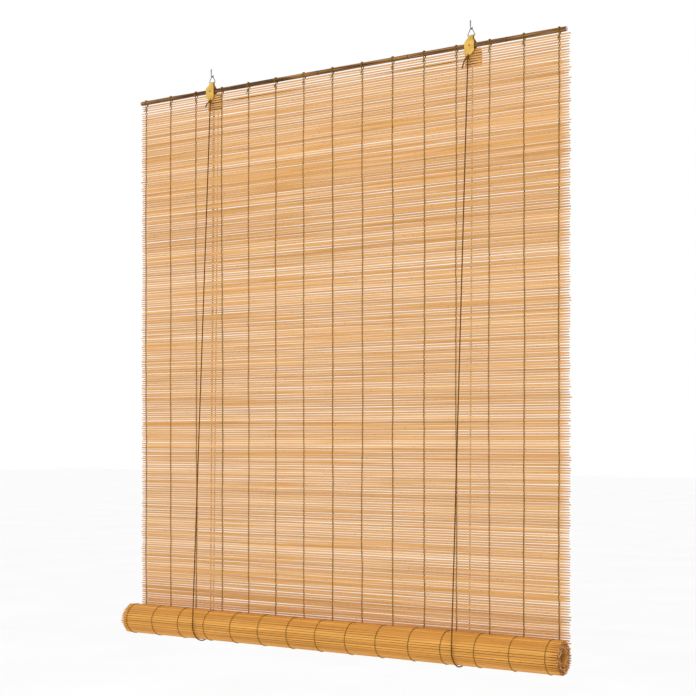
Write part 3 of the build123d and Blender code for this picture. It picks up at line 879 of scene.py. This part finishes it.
class BLIND_OT_warps(bpy.types.Operator):
    """The warp threads that tie the slats, their loops over the head rod and their knots"""

    bl_idname = "blind.warps"
    bl_label = "Warps"

    def execute(self, context):
        mat = settings()[0]
        radius = bpy.context.scene.blind_cord.thread_radius
        rng = np.random.default_rng(23)
        top, foot, count = slat_levels(mat)
        face = mat.slat_thickness / 2 + radius * 0.9
        rod_radius = (ROD_HIGH.z - ROD_LOW.z) / 2
        routes, loops, knots = [], [], []
        for place in WARP_PLACES:
            drift = np.cumsum(rng.normal(0, 0.10 * MM, 2 * count))
            drift -= np.linspace(0, 1, 2 * count) * drift[-1]
            settling = np.exp(-np.arange(2 * count) / 30)
            zig = 0.7 * MM * rng.uniform(0.2, 1, 2 * count) * settling + 0.15 * MM
            for side, shift in ((-1, -0.35 * MM), (1, 0.55 * MM)):
                route = []
                for index in range(2 * count - 1):
                    level = top + (foot - top) * index / (2 * count - 2)
                    out = face if index % 2 == 0 else 0.35 * face
                    swing = zig[index] * (1 if (index // 2) % 2 else -1) * side
                    route.append((place + shift + drift[index] + swing, side * out, level))
                routes.append(route)
            loops += self.loops(place, rod_radius, radius, face, top, rng)
            knots += self.knot(place, face, top - mat.slat_pitch, rng)
        piece = round_thread("warp_threads", routes, radius)
        # Painted shade: each point gets a number that darkens the strand where it sinks back between the
        # slats.
        depth = np.abs(points_of(piece)[:, 1])
        tag_points(piece.data, "dip_shade", np.clip(1.25 - depth / face, 0.0, 1.0) ** 1.5)
        finish_with(piece, finish("warp_yarn"))
        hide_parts(*(f"warp_thread_{number:02d}" for number in range(1, 16)))
        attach(piece, "blind")
        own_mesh(piece)
        piece = round_thread("rod_loops", loops, radius, 1)
        finish_with(piece, finish("loop_yarn"))
        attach(piece, "blind")
        piece = round_thread("warp_knots_tied", knots, 0.9 * radius, 1)
        finish_with(piece, finish("loop_yarn"))
        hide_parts("warp_knots")
        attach(piece, "blind")
        return {"FINISHED"}

    def loops(self, place, rod_radius, radius, face, top, rng):
        """Two turns of one warp over the rod, from its front strand to its back strand."""
        routes = []
        reach = rod_radius + radius
        for shift, lean in ((-0.45 * MM, rng.uniform(-1.2, 1.2) * MM), (0.45 * MM, rng.uniform(-1, 1) * MM)):
            route = [(place + shift - lean * 0.5, -face, top),
                     (place + shift - lean * 0.4, -face * 1.3, top + 1.2 * MM)]
            for angle in np.linspace(1.18 * math.pi, -0.18 * math.pi, 26):
                share = (1.18 * math.pi - angle) / (1.36 * math.pi)
                route.append((place + shift + lean * (share - 0.5), ROD_MIDDLE.y + reach * math.cos(angle),
                              ROD_MIDDLE.z + reach * math.sin(angle)))
            route += [(place + shift + lean * 0.4, face * 1.3, top + 1.2 * MM),
                      (place + shift + lean * 0.5, face, top)]
            routes.append(route)
        return routes

    def knot(self, place, face, level, rng):
        """A small tied knot in front of the second slat, with two short ends."""
        centre = Vector((place + rng.uniform(-0.6, 0.6) * MM, -face - 0.9 * MM,
                         level + rng.uniform(-1, 2) * MM))
        routes = [overhand_loop(centre, 1.25 * MM, steps=40)]
        for way in (-1, 1):
            spread = way * rng.uniform(1.0, 3.6)
            drop = rng.uniform(2.0, 6.0)
            spots = [(0, 0, 0), (0.5 * spread, -0.7, -0.2 * drop), (spread, -0.4, -drop)]
            routes.append(smooth_line([centre + Vector(spot) * MM for spot in spots]))
        return routes


# ---- the head rod and its ironwork ---------------------------------------------------------------

class BLIND_OT_head_rod(bpy.types.Operator):
    """The round cane at the top, with its growth rings and pale cut ends"""

    bl_idname = "blind.head_rod"
    bl_label = "Head Rod"

    def execute(self, context):
        length = ROD_HIGH.x - ROD_LOW.x
        radius = (ROD_HIGH.z - ROD_LOW.z) / 2 - 0.35 * MM
        deselect()
        bpy.ops.mesh.primitive_cylinder_add(vertices=24, radius=radius, depth=length,
                                            location=ROD_MIDDLE, rotation=(0, math.pi / 2, 0))
        rod = bpy.context.object
        rod.name = "cane_rod"
        bpy.ops.object.transform_apply(location=True, rotation=True, scale=True)
        bpy.ops.object.mode_set(mode="EDIT")
        bpy.ops.mesh.select_mode(type="FACE")
        bpy.ops.mesh.select_all(action="DESELECT")
        bpy.ops.object.mode_set(mode="OBJECT")
        for face in rod.data.polygons:
            face.select = abs(face.normal.x) > 0.9
        bpy.ops.object.mode_set(mode="EDIT")
        bpy.ops.mesh.inset(thickness=0.5 * MM, depth=0.0)
        bpy.ops.mesh.inset(thickness=0.3 * MM, depth=-0.25 * MM)
        select_edges(rod, lambda reach: reach > length / 2)
        bpy.ops.mesh.subdivide(number_cuts=100)
        select_edges(rod, lambda reach: 4 * MM < reach < 12 * MM)
        bpy.ops.mesh.subdivide(number_cuts=3)
        bpy.ops.object.mode_set(mode="OBJECT")
        points = points_of(rod)
        along = points[:, 0]
        out = points[:, 1:] - np.array([ROD_MIDDLE.y, ROD_MIDDLE.z])
        growth = np.zeros_like(along)
        for index in range(5):
            place = ROD_MIDDLE.x + (index - 2) * RING_SPACING - RING_SHIFT
            away = (along - place) / MM
            growth += 0.075 * np.exp(-(away / 1.0) ** 2) - 0.05 * np.exp(-((away - 2.4) / 1.2) ** 2)
        drift = 0.02 * np.sin(along * 31 + 1) + 0.015 * np.sin(along * 83)
        end = np.minimum(along - ROD_LOW.x, ROD_HIGH.x - along)
        rim = -0.10 * np.clip(1 - end / (0.8 * MM), 0, 1)
        scale = 1 + growth + drift - 0.02 + rim
        points[:, 1:] = np.array([ROD_MIDDLE.y, ROD_MIDDLE.z]) + out * scale[:, None]
        move_points(rod, points)
        rod.data.materials.append(finish("cane_skin"))
        rod.data.materials.append(finish("cane_pith"))
        for face in rod.data.polygons:
            reach = math.hypot(face.center.y - ROD_MIDDLE.y, face.center.z - ROD_MIDDLE.z)
            face.material_index = 1 if abs(face.normal.x) > 0.7 and reach < radius - 0.45 * MM else 0
        smooth(rod, 50)
        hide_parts("head_rod")
        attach(rod, "blind")
        return {"FINISHED"}


class BLIND_OT_hangers(bpy.types.Operator):
    """Finishes of the folded hangers, nails, rivets, wheels, bails and hooks"""

    bl_idname = "blind.hangers"
    bl_label = "Hangers"

    def execute(self, context):
        finishes = {
            "bracket_left": "brass_plate", "bracket_right": "brass_plate",
            "bracket_nail_left": "nail_plate", "bracket_nail_right": "nail_plate",
            "wheel_rivet_left": "zinc_wire", "wheel_rivet_right": "zinc_wire",
            "guide_wheel_left_front": "brown_moulding", "guide_wheel_left_rear": "brown_moulding",
            "guide_wheel_right": "brown_moulding",
            "bail_left": "zinc_wire", "bail_right": "zinc_wire",
            "screw_hook_left": "zinc_wire", "screw_hook_right": "zinc_wire",
            "bottom_rod": "bottom_cane",
        }
        for node, name in finishes.items():
            slots = bpy.data.objects[node].material_slots
            for index in range(len(slots)):
                slots[index].material = finish(name)
        return {"FINISHED"}


# ---- stage ----------------------------------------------------------------------------------------

class BLIND_OT_stage(bpy.types.Operator):
    """Camera, soft light and a pale floor"""

    bl_idname = "blind.stage"
    bl_label = "Stage"

    def execute(self, context):
        lens = bpy.data.cameras.new("camera")
        lens.lens = 72.41
        lens.sensor_width = 36.0
        lens.shift_y = 0.1315
        lens.clip_end = 50.0
        camera = bpy.data.objects.new("camera", lens)
        camera.location = (1.396, -2.041, -0.6874)
        camera.rotation_euler = (math.radians(90), 0, math.radians(33.75))
        context.collection.objects.link(camera)
        context.scene.camera = camera
        for name, place, size, power, aim in (
                ("key", (-0.4, -2.0, 1.5), 2.0, 9.0, (0, 0, -0.5)),
                ("fill", (2.4, -1.6, 0.2), 2.4, 3.0, (0, 0, -0.6)),
                ("back", (0.4, 2.2, 0.4), 2.4, 2.0, (0, 0, -0.5))):
            lamp = bpy.data.lights.new(name, "AREA")
            lamp.size = size
            lamp.energy = power
            light = bpy.data.objects.new(name, lamp)
            light.location = place
            light.rotation_euler = (Vector(aim) - Vector(place)).to_track_quat("-Z", "Y").to_euler()
            context.collection.objects.link(light)
        deselect()
        bpy.ops.mesh.primitive_plane_add(size=60.0, location=(0, 0, -1.6))
        floor = bpy.context.object
        floor.name = "floor"
        finish_with(floor, self.floor_finish())
        world = bpy.data.worlds.new("studio")
        world.use_nodes = True
        world.node_tree.nodes["Background"].inputs["Color"].default_value = (1.0, 1.0, 1.0, 1)
        world.node_tree.nodes["Background"].inputs["Strength"].default_value = 1.0
        context.scene.world = world
        context.scene.view_settings.view_transform = "Standard"
        return {"FINISHED"}

    def floor_finish(self):
        """A matt pale floor."""
        material, nodes, links, shader = new_finish("pale_floor", 0.9, specular=0.1)
        mottle = object_noise(nodes, links, (1.0, 1.0, 1.0), 2.0)
        ramp = colour_ramp(nodes, links, mottle.outputs["Fac"],
                           [(0.3, (0.95, 0.95, 0.95)), (0.7, (0.98, 0.98, 0.98))])
        links.new(ramp.outputs["Color"], shader.inputs["Base Color"])
        return material


class BLIND_PT_panel(bpy.types.Panel):
    """The blind's steps, in order"""

    bl_label = "Bamboo Roll Up Blind"
    bl_idname = "BLIND_PT_panel"
    bl_space_type = "VIEW_3D"
    bl_region_type = "UI"
    bl_category = "Blind"

    def draw(self, context):
        layout = self.layout
        for group in (context.scene.blind_mat, context.scene.blind_cord, context.scene.blind_colour):
            for name in group.__annotations__:
                layout.prop(group, name)
        for operator in OPERATORS:
            layout.operator(operator.bl_idname)


OPERATORS = (
    BLIND_OT_stage,
    BLIND_OT_pull_cords,
    BLIND_OT_lift_cords,
    BLIND_OT_hanging_mat,
    BLIND_OT_roll,
    BLIND_OT_warps,
    BLIND_OT_head_rod,
    BLIND_OT_hangers,
)
CLASSES = (BlindMatSettings, BlindCordSettings, BlindColourSettings) + OPERATORS + (BLIND_PT_panel,)


def register():
    for item in CLASSES:
        bpy.utils.register_class(item)
    bpy.types.Scene.blind_mat = bpy.props.PointerProperty(type=BlindMatSettings)
    bpy.types.Scene.blind_cord = bpy.props.PointerProperty(type=BlindCordSettings)
    bpy.types.Scene.blind_colour = bpy.props.PointerProperty(type=BlindColourSettings)


def unregister():
    del bpy.types.Scene.blind_mat
    del bpy.types.Scene.blind_cord
    del bpy.types.Scene.blind_colour
    for item in reversed(CLASSES):
        bpy.utils.unregister_class(item)


def main():
    register()
    bpy.ops.blind.stage()
    bpy.ops.blind.pull_cords()
    bpy.ops.blind.lift_cords()
    bpy.ops.blind.hanging_mat()
    bpy.ops.blind.roll()
    bpy.ops.blind.warps()
    bpy.ops.blind.head_rod()
    bpy.ops.blind.hangers()


if __name__ == "__main__":
    main()
